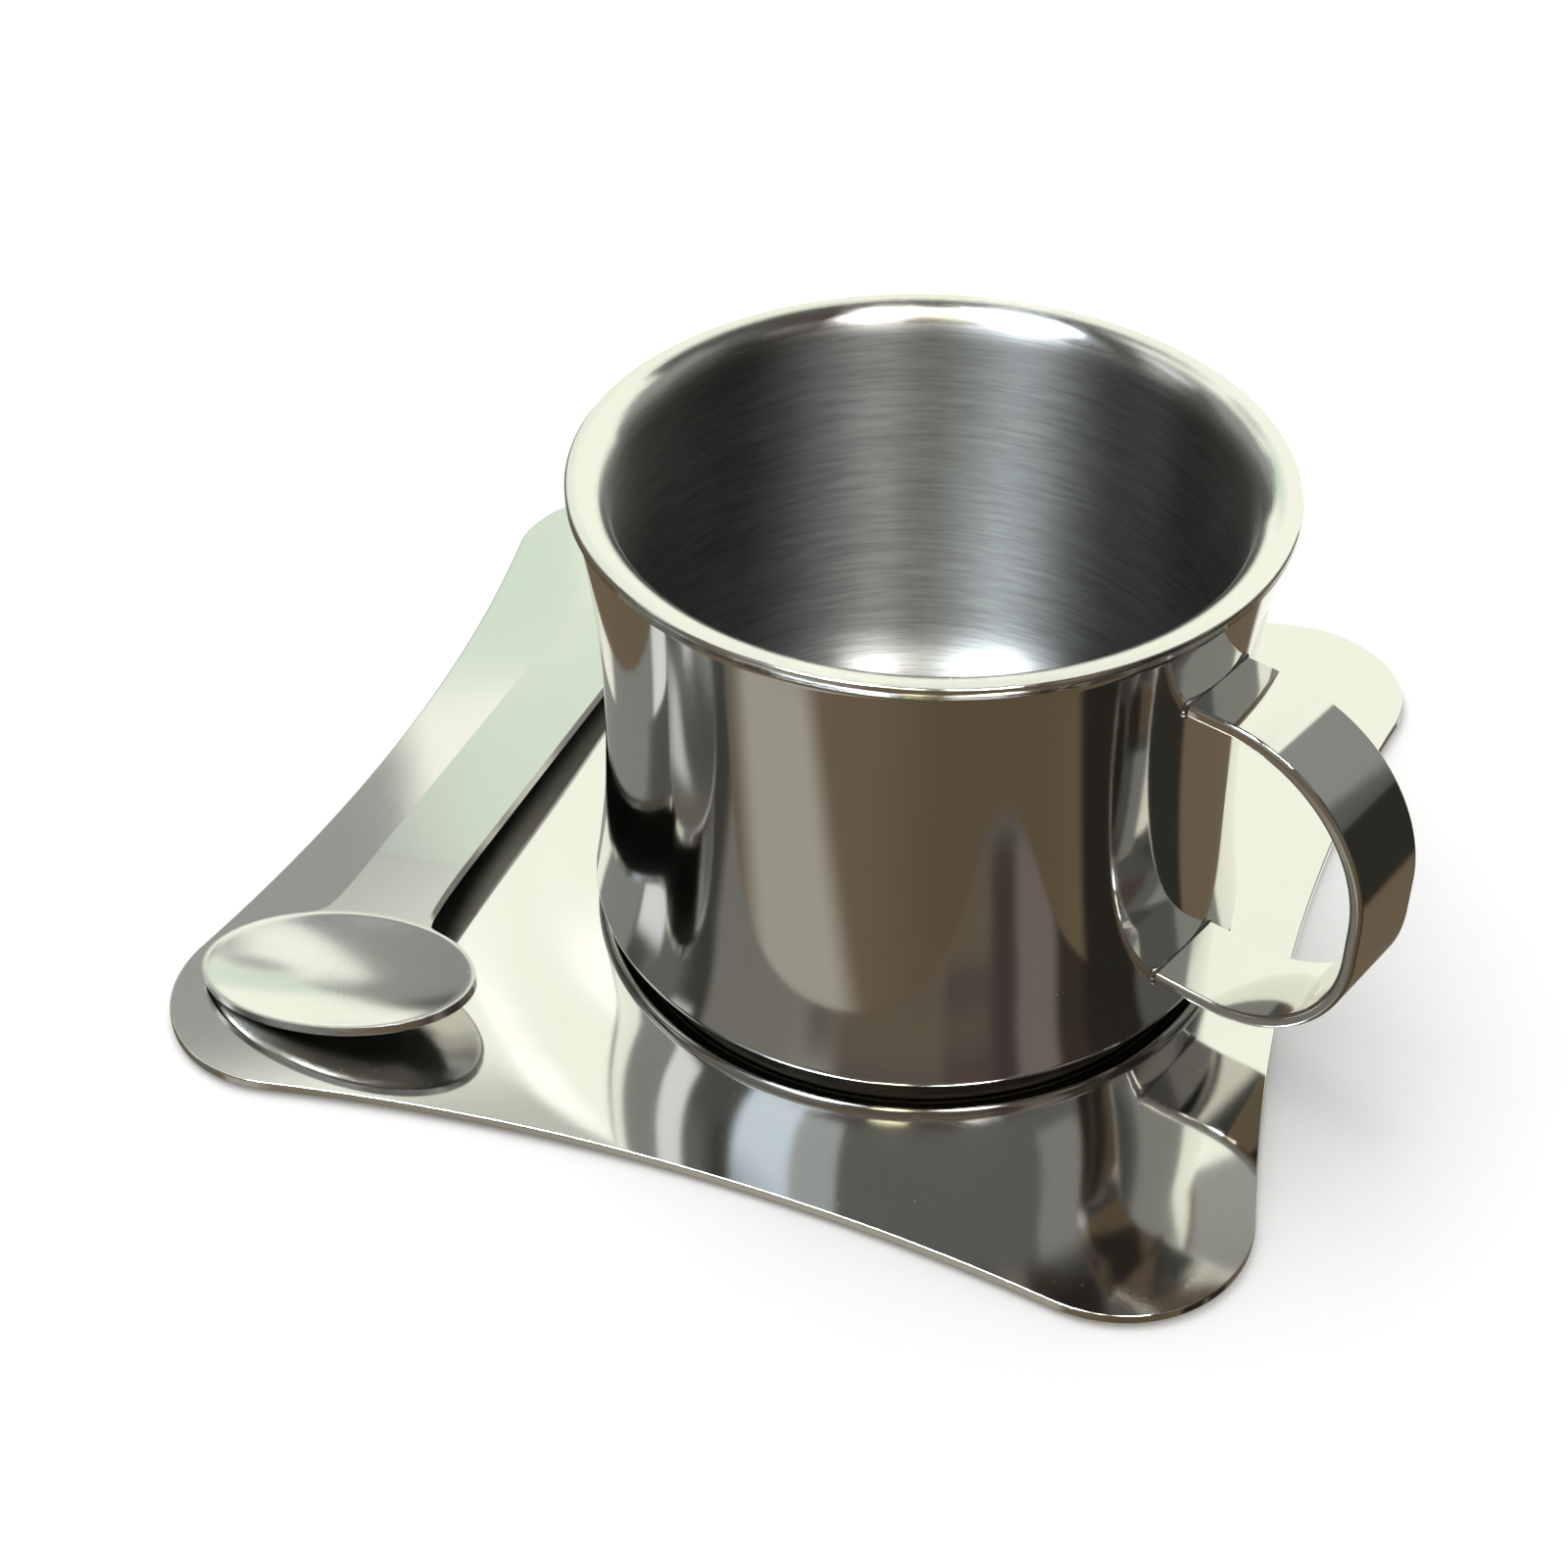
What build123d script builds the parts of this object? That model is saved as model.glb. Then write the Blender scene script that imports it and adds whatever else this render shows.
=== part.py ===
"""Double-walled steel mug with a strap handle, its four-cornered saucer and a spoon.

Every solid is its own node, written to parts/NODE.step. Units are millimetres and +Z is up.
The origin is the middle of the saucer, on the surface that the set stands on. The saucer's
sides run along X and Y. The mug stands towards +X in the saucer's well, and the spoon lies
along Y at -X with its bowl towards -Y.
"""
from build123d import *
import math
import os

os.makedirs("parts", exist_ok=True)

# ---------------------------------------------------------------- driving sizes: saucer
SAUCER_SHEET = 1.2            # thickness of the pressed sheet
SAUCER_SPAN = 133.6           # across two opposite sides, corner tip to corner tip
SAUCER_CORNER_RADIUS = 15.8   # rounding of each of the four corners
SAUCER_SIDE_RADIUS = 256.0    # hollow curve of each of the four sides
SAUCER_LAND_LIFT = 0.6        # flat land's underside above the table
SAUCER_EDGE_ROUND = 0.35      # rounding of the sheet's cut edge
WELL_OFFSET = 12.9            # well's axis from the saucer's middle, along +X
WELL_SIDE_OFFSET = 3.9        # well's axis from the saucer's middle, along -Y
WELL_CLEARANCE = 6.4          # between the mug's foot and the start of the step up to the land
WELL_STEP_RUN = 1.8           # radial width of the step from floor to land

# ---------------------------------------------------------------- driving sizes: mug
MUG_HEIGHT = 59.2             # foot to the top of the rim
RIM_RADIUS = 42.0
WAIST_RADIUS = 38.8
WAIST_HEIGHT = 27.0           # above the foot
FOOT_RADIUS = 41.2
FOOT_ROUND = 1.2              # rounding from wall to foot
FOOT_LIFT = 1.8               # foot of the wall above the surface that carries the base pan
FOOT_FLANGE_WIDTH = 4.0       # inward turn that carries the base pan
SHELL_SHEET = 0.8
SHELL_TOP_RADIUS = 41.5       # outside of the shell where it meets the rim's hem
LINER_SHEET = 0.7
LINER_BORE_RADIUS = 36.9      # inside of the liner's straight wall
LINER_FLOOR_HEIGHT = 6.0      # inside floor above the foot
LINER_CORNER_RADIUS = 6.5     # inside rounding, wall to floor
HEM_DEPTH = 1.2               # height of the rim's folded edge
HEM_WIDTH = 1.3               # radial width of the rim's folded edge
HEM_ROUND = 0.45              # rounding of the rim's outer top edge
BASE_SHEET = 0.8
BASE_CLEARANCE = 0.5          # between the base pan and the foot's bend, and the flange's bore
BASE_PANEL_RADIUS = 30.0      # stamped middle of the base pan
BASE_PANEL_RISE = 0.5
BASE_PANEL_SLOPE = 1.5        # radial width of the step round the stamped middle

# ---------------------------------------------------------------- driving sizes: handle
HANDLE_TURN = -20.0           # degrees about the mug's axis, from +X
HANDLE_WIDTH = 12.4
HANDLE_THICKNESS = 1.6
HANDLE_EDGE_ROUND = 0.55
HANDLE_REACH = 63.1           # mug's axis to the middle of the strap's thickness
HANDLE_TOP = 47.4             # middle of the upper arm above the foot
HANDLE_BOTTOM = 7.8           # middle of the lower arm above the foot
HANDLE_TOP_BEND = 18.8        # bend radii at the middle of the strap's thickness
HANDLE_BOTTOM_BEND = 16.3
WELD_LEG = 0.6                # how far a weld bead stands proud of the strap
WELD_RUN = 0.9                # how far a weld bead runs along the strap

# ---------------------------------------------------------------- driving sizes: spoon
SPOON_SHEET = 1.2
SPOON_SIDE_INSET = 20.8       # spoon's long axis in from the saucer's side towards -X
SPOON_NECK_INSET = 27.4       # arm's start in from the saucer's side towards -Y
SPOON_TURN = -1.5             # degrees about the vertical through the neck, from +Y
SPOON_ROLL = -8.5             # degrees about its long axis, side towards -X down
BOWL_WIDTH = 37.2
BOWL_LENGTH = 20.8
BOWL_DEPTH = 2.0
BOWL_LIP = 0.5                # flat lip left round the bowl's hollow
ARM_LENGTH = 73.5             # neck to the end of the arm
ARM_NECK_WIDTH = 13.0
ARM_END_WIDTH = 13.2
ARM_END_ROUND = 4.0           # rounding of the arm's two end corners
ARM_NECK_ROUND = 3.5          # hollow corner between arm and bowl
ARM_DROP = 1.6                # end of the arm below the bowl's lip
ARM_BEND_RADIUS = 60.0        # bend where the arm turns down
ARM_LEVEL_RUN = 11.0          # from the neck to the middle of that bend

REST_GAP = 0.1                # free pieces stand this much clear of what carries them

# ---------------------------------------------------------------- worked-out places
WELL_PLACE = Pos(WELL_OFFSET, -WELL_SIDE_OFFSET, 0)
MUG_PLACE = WELL_PLACE * Pos(0, 0, SAUCER_SHEET + REST_GAP + FOOT_LIFT)
WELL_FLOOR_RADIUS = FOOT_RADIUS + WELL_CLEARANCE
LAND_START_RADIUS = WELL_FLOOR_RADIUS + WELL_STEP_RUN
LAND_TOP_Z = SAUCER_SHEET + SAUCER_LAND_LIFT
FLANGE_BORE_RADIUS = FOOT_RADIUS - FOOT_ROUND - FOOT_FLANGE_WIDTH
SHELL_TOP_Z = MUG_HEIGHT - HEM_DEPTH
FLARE_RADIUS = RIM_RADIUS - HEM_ROUND - LINER_BORE_RADIUS
FLARE_START_Z = MUG_HEIGHT - FLARE_RADIUS


def turned(points_or_edges):
    """Solid of revolution about Z from the edges of a closed outline in the XZ plane."""
    return revolve(make_face(points_or_edges), axis=Axis.Z)


def polygon(*corners):
    """Closed outline of straight edges in the XZ plane, from (radius, height) corners."""
    spots = [(radius, 0, height) for radius, height in corners]
    return Polyline(*spots, close=True).edges()


def thickened(top_edges, sheet):
    """Closed outline between a chain of edges and its copy lowered by the sheet."""
    underside = [Pos(0, 0, -sheet) * edge for edge in top_edges]
    first = Line(top_edges[0] @ 0, underside[0] @ 0)
    last = Line(top_edges[-1] @ 1, underside[-1] @ 1)
    return top_edges + underside + [first, last]


def lowest_round_edge(solid):
    """Outermost circular edge at the bottom of a solid of revolution."""
    return solid.edges().filter_by(GeomType.CIRCLE).group_by(Axis.Z)[0].sort_by(SortBy.RADIUS)[-1]


def borders_once(edge, faces):
    """True for an edge that belongs to exactly one of the faces."""
    owners = [face for face in faces if any(edge.is_same(side) for side in face.edges())]
    return len(owners) == 1


# ---------------------------------------------------------------- saucer
def saucer_outline():
    """Closed face in the XY plane: four round corners joined by four hollow sides."""
    corner = SAUCER_SPAN / 2 - SAUCER_CORNER_RADIUS
    reach = SAUCER_SIDE_RADIUS + SAUCER_CORNER_RADIUS
    side_centre = corner + math.sqrt(reach ** 2 - corner ** 2)
    share = SAUCER_CORNER_RADIUS / reach
    along = corner * (1 - share)
    across = corner + (side_centre - corner) * share
    middle = side_centre - SAUCER_SIDE_RADIUS
    tip = corner + SAUCER_CORNER_RADIUS / math.sqrt(2)
    edges = []
    for quarter in range(4):
        turn = Rot(0, 0, -90 * quarter)
        side = ThreePointArc((-along, across), (0, middle), (along, across))
        bend = ThreePointArc((along, across), (tip, tip), (across, along))
        edges += [turn * side, turn * bend]
    return make_face(edges)


def saucer_sheet():
    """Pressed sheet turned about the well's axis: floor, shallow step and level land."""
    level = (1, 0, 0)
    middle = (0, 0, SAUCER_SHEET)
    floor_end = (WELL_FLOOR_RADIUS, 0, SAUCER_SHEET)
    land_start = (LAND_START_RADIUS, 0, LAND_TOP_Z)
    land_end = (SAUCER_SPAN, 0, LAND_TOP_Z)
    top = [
        Line(middle, floor_end),
        Spline(floor_end, land_start, tangents=[level, level]),
        Line(land_start, land_end),
    ]
    return WELL_PLACE * turned(thickened(top, SAUCER_SHEET))


def saucer_plate():
    """Pressed sheet cut to its four-cornered outline, with the cut edge rounded."""
    plate = saucer_sheet() & extrude(saucer_outline(), amount=2 * LAND_TOP_Z)
    cut_faces = [face for face in plate.faces() if abs(face.normal_at().Z) < 0.01]
    cut_edges = [edge for edge in plate.edges() if borders_once(edge, cut_faces)]
    return fillet(cut_edges, SAUCER_EDGE_ROUND)


# ---------------------------------------------------------------- mug
def shell_body(inset=0.0, floor=0.0, foot_round=FOOT_ROUND):
    """Filled body inside the shell's waisted curve, moved inwards by inset."""
    foot = (FOOT_RADIUS - inset, 0, floor)
    waist = (WAIST_RADIUS - inset, 0, WAIST_HEIGHT)
    top = (SHELL_TOP_RADIUS - inset, 0, SHELL_TOP_Z)
    outline = [
        Line((0, 0, floor), foot),
        ThreePointArc(foot, waist, top),
        Line(top, (0, 0, SHELL_TOP_Z)),
        Line((0, 0, SHELL_TOP_Z), (0, 0, floor)),
    ]
    body = turned(outline)
    return fillet(lowest_round_edge(body), foot_round)


def outer_shell():
    """Waisted wall with its foot turned inwards."""
    hollow = shell_body(SHELL_SHEET, SHELL_SHEET, FOOT_ROUND - SHELL_SHEET)
    opening = Cylinder(FLANGE_BORE_RADIUS, 4 * SHELL_SHEET)
    return MUG_PLACE * (shell_body() - hollow - opening)


def liner_body(growth, flare_end, corner_radius):
    """Filled body inside the liner, grown outwards by growth, with its trumpet mouth."""
    floor = LINER_FLOOR_HEIGHT - growth
    wall = LINER_BORE_RADIUS + growth
    flare = FLARE_RADIUS - growth
    mouth = RIM_RADIUS - HEM_ROUND
    mouth_z = MUG_HEIGHT - growth
    half_turn = flare * math.sqrt(0.5)
    flare_middle = (mouth - half_turn, 0, FLARE_START_Z + half_turn)
    outline = [
        Line((0, 0, floor), (wall, 0, floor)),
        Line((wall, 0, floor), (wall, 0, FLARE_START_Z)),
        ThreePointArc((wall, 0, FLARE_START_Z), flare_middle, (mouth, 0, mouth_z)),
        Line((mouth, 0, mouth_z), (mouth, 0, flare_end)),
        Line((mouth, 0, flare_end), (0, 0, flare_end)),
        Line((0, 0, flare_end), (0, 0, floor)),
    ]
    return fillet(lowest_round_edge(turned(outline)), corner_radius)


def inner_liner():
    """Deep cup with a trumpet mouth whose edge is folded into a hem over the shell."""
    outside = liner_body(LINER_SHEET, MUG_HEIGHT, LINER_CORNER_RADIUS + LINER_SHEET)
    inside = liner_body(0.0, MUG_HEIGHT + HEM_DEPTH, LINER_CORNER_RADIUS)
    hem_bore = RIM_RADIUS - HEM_WIDTH
    hem = turned(polygon(
        (hem_bore, SHELL_TOP_Z), (RIM_RADIUS, SHELL_TOP_Z),
        (RIM_RADIUS, MUG_HEIGHT), (hem_bore, MUG_HEIGHT),
    ))
    outer_edges = hem.edges().filter_by(GeomType.CIRCLE).group_by(SortBy.RADIUS)[-1]
    hem = fillet(outer_edges, HEM_ROUND)
    return MUG_PLACE * (outside + hem - inside)


def base_pan():
    """Shallow pan hung by its lip on the foot's flange; the mug stands on its bottom."""
    lip = FOOT_RADIUS - FOOT_ROUND - BASE_CLEARANCE
    wall = FLANGE_BORE_RADIUS - BASE_CLEARANCE
    flange = SHELL_SHEET
    low = -FOOT_LIFT
    high = low + BASE_PANEL_RISE
    step = BASE_PANEL_RADIUS + BASE_PANEL_SLOPE
    pan = turned(polygon(
        (0, high), (BASE_PANEL_RADIUS, high), (step, low), (wall, low), (wall, flange), (lip, flange),
        (lip, flange + BASE_SHEET), (wall - BASE_SHEET, flange + BASE_SHEET),
        (wall - BASE_SHEET, low + BASE_SHEET), (step, low + BASE_SHEET),
        (BASE_PANEL_RADIUS, high + BASE_SHEET), (0, high + BASE_SHEET),
    ))
    return MUG_PLACE * pan


# ---------------------------------------------------------------- handle
def strap_loop(growth):
    """Face inside the strap's line, grown outwards by growth, in the XZ plane."""
    reach = HANDLE_REACH + growth
    high = HANDLE_TOP + growth
    low = HANDLE_BOTTOM - growth
    bends = [HANDLE_TOP_BEND + growth, HANDLE_BOTTOM_BEND + growth]
    path = FilletPolyline((0, 0, high), (reach, 0, high), (reach, 0, low), (0, 0, low), radius=bends)
    return make_face(path.edges() + Line((0, 0, low), (0, 0, high)).edges())


def whole_strap():
    """Bent strap running on to the mug's axis, before it is cut to the wall."""
    half = HANDLE_THICKNESS / 2
    band = strap_loop(half) - strap_loop(-half)
    strap = extrude(band, amount=HANDLE_WIDTH / 2, dir=(0, 1, 0), both=True)
    side_edges = [edge for edge in strap.edges() if abs(abs(edge.center().Y) - HANDLE_WIDTH / 2) < 0.01
                  and edge.center().X > 1]
    return fillet(side_edges, HANDLE_EDGE_ROUND)


def handle_strap():
    return MUG_PLACE * Rot(0, 0, HANDLE_TURN) * (whole_strap() - shell_body())


def weld_bead(arm_height):
    """Collar of weld round one end of the strap, lying on the shell."""
    wide = HANDLE_WIDTH + 2 * WELD_LEG
    thick = HANDLE_THICKNESS + 2 * WELD_LEG
    block = Pos(HANDLE_REACH / 2, 0, arm_height) * Box(HANDLE_REACH, wide, thick)
    collar = block & shell_body(inset=-WELD_RUN)
    bead = collar - shell_body() - whole_strap()
    return MUG_PLACE * Rot(0, 0, HANDLE_TURN) * bead


# ---------------------------------------------------------------- spoon
def spoon_outline():
    """Plan of the spoon in its own frame: neck at the origin, bowl towards -Y."""
    bowl = Pos(0, -BOWL_LENGTH / 2, 0) * Ellipse(BOWL_WIDTH / 2, BOWL_LENGTH / 2)
    overlap = BOWL_LENGTH / 3
    arm = make_face(Polyline(
        (-ARM_NECK_WIDTH / 2, -overlap), (ARM_NECK_WIDTH / 2, -overlap),
        (ARM_END_WIDTH / 2, ARM_LENGTH), (-ARM_END_WIDTH / 2, ARM_LENGTH), close=True,
    ).edges())
    arm = fillet(arm.vertices().group_by(Axis.Y)[-1], ARM_END_ROUND)
    plan = bowl + arm
    crooks = [spot for spot in plan.vertices() if -overlap < spot.Y < 0]
    return fillet(crooks, ARM_NECK_ROUND)


def spoon_side():
    """Sheet seen from the side: level through the bowl, then bent down along the arm."""
    fall = ARM_LENGTH - ARM_LEVEL_RUN
    path = FilletPolyline(
        (0, -BOWL_LENGTH, 0), (0, ARM_LEVEL_RUN, 0), (0, ARM_LEVEL_RUN + fall, -ARM_DROP),
        radius=ARM_BEND_RADIUS,
    )
    chain = path.edges().sort_by(Axis.Y)
    return make_face(thickened(list(chain), SPOON_SHEET))


def bowl_form(growth):
    """Hollow's round form, grown outwards by growth and stretched to the bowl's width."""
    half_long = BOWL_LENGTH / 2 - BOWL_LIP
    half_wide = BOWL_WIDTH / 2 - BOWL_LIP
    ball = (half_long ** 2 + BOWL_DEPTH ** 2) / (2 * BOWL_DEPTH)
    form = scale(Sphere(ball + growth), by=(half_wide / half_long, 1, 1))
    return Pos(0, -BOWL_LENGTH / 2, ball - BOWL_DEPTH) * form


def spoon():
    blank = extrude(spoon_side(), amount=BOWL_WIDTH, dir=(1, 0, 0), both=True)
    plan = extrude(spoon_outline(), amount=2 * BOWL_DEPTH + ARM_DROP, both=True)
    below = Pos(0, -BOWL_LENGTH / 2, -BOWL_WIDTH / 2) * Box(2 * BOWL_WIDTH, BOWL_LENGTH, BOWL_WIDTH)
    pan = bowl_form(SPOON_SHEET) & below & plan
    flat = (blank & plan) + pan - bowl_form(0.0)
    leaning = Rot(0, 0, SPOON_TURN) * Rot(0, SPOON_ROLL, 0) * flat
    rest_z = LAND_TOP_Z + REST_GAP - leaning.bounding_box().min.Z
    axis_x = SPOON_SIDE_INSET - SAUCER_SPAN / 2
    neck_y = SPOON_NECK_INSET - SAUCER_SPAN / 2
    return Pos(axis_x, neck_y, rest_z) * leaning


nodes = {
    "saucer_plate": saucer_plate(),
    "outer_shell": outer_shell(),
    "inner_liner": inner_liner(),
    "base_pan": base_pan(),
    "handle_strap": handle_strap(),
    "handle_weld_upper": weld_bead(HANDLE_TOP),
    "handle_weld_lower": weld_bead(HANDLE_BOTTOM),
    "spoon": spoon(),
}

for name, shape in nodes.items():
    export_step(shape, f"parts/{name}.step")
    box = shape.bounding_box()
    print(f"{name}: solids {len(shape.solids())}, volume {shape.volume:.1f} mm3, "
          f"z {box.min.Z:.2f} to {box.max.Z:.2f}")
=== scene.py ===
"""Shaving mug set: a double-walled steel mug, its four-cornered saucer and a spoon.

Run as a script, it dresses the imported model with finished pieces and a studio. Lengths are in
metres, in the model's own frame: +Z up, the origin under the middle of the saucer.
"""
import math

import bmesh
import bpy
from bpy.props import FloatProperty, FloatVectorProperty, IntProperty, PointerProperty
from bpy.types import Operator, Panel, PropertyGroup
from mathutils import Matrix, Vector


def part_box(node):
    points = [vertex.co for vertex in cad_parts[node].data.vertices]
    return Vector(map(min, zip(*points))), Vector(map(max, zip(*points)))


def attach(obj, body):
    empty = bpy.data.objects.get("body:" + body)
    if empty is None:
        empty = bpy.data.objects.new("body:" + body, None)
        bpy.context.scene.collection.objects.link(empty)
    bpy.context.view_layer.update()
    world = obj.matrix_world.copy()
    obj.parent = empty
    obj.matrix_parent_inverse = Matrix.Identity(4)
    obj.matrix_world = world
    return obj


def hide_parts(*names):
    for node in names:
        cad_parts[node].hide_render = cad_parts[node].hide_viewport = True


bl_info = {
    "name": "Shaving Mug Set",
    "version": (1, 0, 0),
    "blender": (4, 5, 0),
    "location": "View3D > Sidebar > Mug Set",
    "description": "Builds a steel mug, saucer and spoon around the packed model",
    "category": "Object",
}

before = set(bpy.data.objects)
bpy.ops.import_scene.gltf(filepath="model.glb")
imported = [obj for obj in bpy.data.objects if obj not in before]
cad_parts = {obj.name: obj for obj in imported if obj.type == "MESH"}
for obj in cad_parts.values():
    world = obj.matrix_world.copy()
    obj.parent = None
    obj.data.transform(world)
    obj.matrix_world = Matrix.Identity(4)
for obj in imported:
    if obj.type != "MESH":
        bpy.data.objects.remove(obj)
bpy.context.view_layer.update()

SHELL_LOW, SHELL_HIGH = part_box("outer_shell")
LINER_LOW, LINER_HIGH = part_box("inner_liner")
BASE_LOW, BASE_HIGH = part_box("base_pan")
SAUCER_LOW, SAUCER_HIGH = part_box("saucer_plate")
SPOON_LOW, SPOON_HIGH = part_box("spoon")

MUG_AXIS = Vector(((LINER_LOW.x + LINER_HIGH.x) / 2, (LINER_LOW.y + LINER_HIGH.y) / 2, 0.0))
FOOT_Z = SHELL_LOW.z
RIM_Z = LINER_HIGH.z
RIM_RADIUS = (LINER_HIGH.x - LINER_LOW.x) / 2
SHELL_TOP_Z = SHELL_HIGH.z
SHELL_TOP_RADIUS = (SHELL_HIGH.x - SHELL_LOW.x) / 2
SAUCER_SPAN = SAUCER_HIGH.x - SAUCER_LOW.x


# ---------------------------------------------------------------- sizes and colours
def length(name, description, default):
    """A length in metres with a fine enough display."""
    return FloatProperty(name=name, description=description, default=default, unit="LENGTH", precision=5)


def angle(name, description, degrees):
    return FloatProperty(name=name, description=description, default=math.radians(degrees), unit="ROTATION")


def share(name, description, default):
    return FloatProperty(name=name, description=description, default=default, min=0.0, max=1.0,
                         subtype="FACTOR")


def colour(name, description, default):
    return FloatVectorProperty(name=name, description=description, default=default, size=3, subtype="COLOR",
                               min=0.0, max=1.0)


class MugSizes(PropertyGroup):
    foot_radius: length("Foot radius", "Outside of the wall at the foot", 0.0412)
    waist_radius: length("Waist radius", "Outside of the wall at its narrowest", 0.0388)
    waist_height: length("Waist height", "Narrowest place above the foot", 0.0270)
    wall_sheet: length("Wall sheet", "Thickness of the outer wall", 0.0008)
    foot_round: length("Foot rounding", "Outer bend from wall to foot", 0.0012)
    flange_width: length("Foot flange", "Inward turn of the foot", 0.0040)
    pan_clearance: length("Pan clearance", "Between the base pan's wall and the flange", 0.0005)
    pan_panel: length("Pan panel", "Radius of the raised middle of the base pan", 0.0300)
    pan_panel_rise: length("Pan panel rise", "Raised middle above the pan's bottom", 0.0005)
    bore_radius: length("Bore radius", "Inside of the liner's straight wall", 0.0369)
    liner_sheet: length("Liner sheet", "Thickness of the liner", 0.0007)
    floor_height: length("Floor height", "Inside floor above the foot", 0.0060)
    floor_round: length("Floor rounding", "Inside bend from wall to floor", 0.0065)
    hem_depth: length("Hem depth", "Height of the folded edge", 0.0012)
    hem_width: length("Hem width", "Radial width of the folded edge", 0.0013)
    hem_round: length("Hem rounding", "Outer top edge of the fold", 0.00030)
    lip_width: length("Lip width", "Level lip between the trumpet mouth and the hem's rounding", 0.00070)
    lip_polish: length("Polished lip", "Depth of the mirror finish below the rim", 0.0018)
    spin_steps: IntProperty(name="Turning steps", description="Faces round the mug", default=256, min=32)


class HandleSizes(PropertyGroup):
    turn: angle("Turn", "Handle's direction about the mug's axis", -20.0)
    width: length("Width", "Width of the strap", 0.0124)
    thickness: length("Thickness", "Thickness of the strap", 0.0016)
    edge_round: length("Edge rounding", "Rounding of the strap's long edges", 0.00055)
    reach: length("Reach", "Mug's axis to the middle of the strap", 0.0631)
    top: length("Upper arm", "Middle of the upper arm above the foot", 0.0474)
    bottom: length("Lower arm", "Middle of the lower arm above the foot", 0.0078)
    top_bend: length("Upper bend", "Bend radius at the top", 0.0188)
    bottom_bend: length("Lower bend", "Bend radius at the bottom", 0.0163)
    weld_bead: length("Weld bead", "Radius of the bead round each end", 0.00042)
    seat_depth: length("Seat depth", "How deep each end sits in the wall", 0.00055)


class SaucerSizes(PropertyGroup):
    sheet: length("Sheet", "Thickness of the saucer", 0.0012)
    corner_radius: length("Corner radius", "Rounding of the four corners", 0.0158)
    side_radius: length("Side radius", "Hollow curve of the four sides", 0.2560)
    edge_round: length("Edge rounding", "Rounding of the cut edge", 0.00035)
    floor_radius: length("Well floor", "Radius of the well's flat floor", 0.0440)
    edge_strip: length("Edge strip", "Least land left outside the rise", 0.0020)
    step_run: length("Well step", "Radial width of the gentle rise to the land", 0.0180)
    spin_steps: IntProperty(name="Turning steps", description="Faces round the saucer", default=480, min=64)


class SpoonSizes(PropertyGroup):
    sheet: length("Sheet", "Thickness of the spoon", 0.0012)
    side_inset: length("Side inset", "Long axis in from the saucer's side", 0.0208)
    neck_inset: length("Neck inset", "Arm's start in from the saucer's other side", 0.0274)
    bowl_width: length("Bowl width", "Across the bowl", 0.0372)
    bowl_length: length("Bowl length", "Along the bowl", 0.0208)
    bowl_depth: length("Bowl depth", "Hollow of the bowl", 0.0020)
    neck_width: length("Neck width", "Arm's width at the bowl", 0.0130)
    end_width: length("End width", "Arm's width at its free end", 0.0132)
    arm_length: length("Arm length", "From the neck to the free end", 0.0735)
    end_round: length("End rounding", "Corners of the arm's free end", 0.0040)
    drop: length("Drop", "Arm's end below the bowl's lip", 0.0016)
    bend_place: length("Bend place", "From the neck to where the arm turns down", 0.0110)
    turn: angle("Turn", "About the vertical through the neck", -1.5)
    roll: angle("Roll", "Lean about the long axis", -8.5)
    edge_round: length("Edge rounding", "Rounding of the cut edge", 0.00040)


class SteelFinish(PropertyGroup):
    polished: colour("Polished steel", "Colour of the mirror-finished pieces", (0.80, 0.79, 0.77))
    satin: colour("Satin steel", "Colour of the brushed liner", (0.40, 0.40, 0.39))
    # Painted shade: the base pan's colour is darkened so that the gap under the mug's foot reads black.
    pan_painted_shade: colour("Base pan painted shade", "Colour of the base pan's raw finish", (0.34, 0.33, 0.31))
    weld: colour("Weld", "Colour of the weld beads", (0.30, 0.29, 0.28))
    polished_roughness: share("Polished roughness", "Blur of the mirror finish", 0.07)
    spoon_roughness: share("Spoon roughness", "Blur of the worn spoon", 0.17)
    satin_roughness: share("Satin roughness", "Blur of the brushed finish", 0.38)
    brush_stretch: share("Brush stretch", "How much more the brushing blurs across its lines than along", 1.0)


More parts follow.
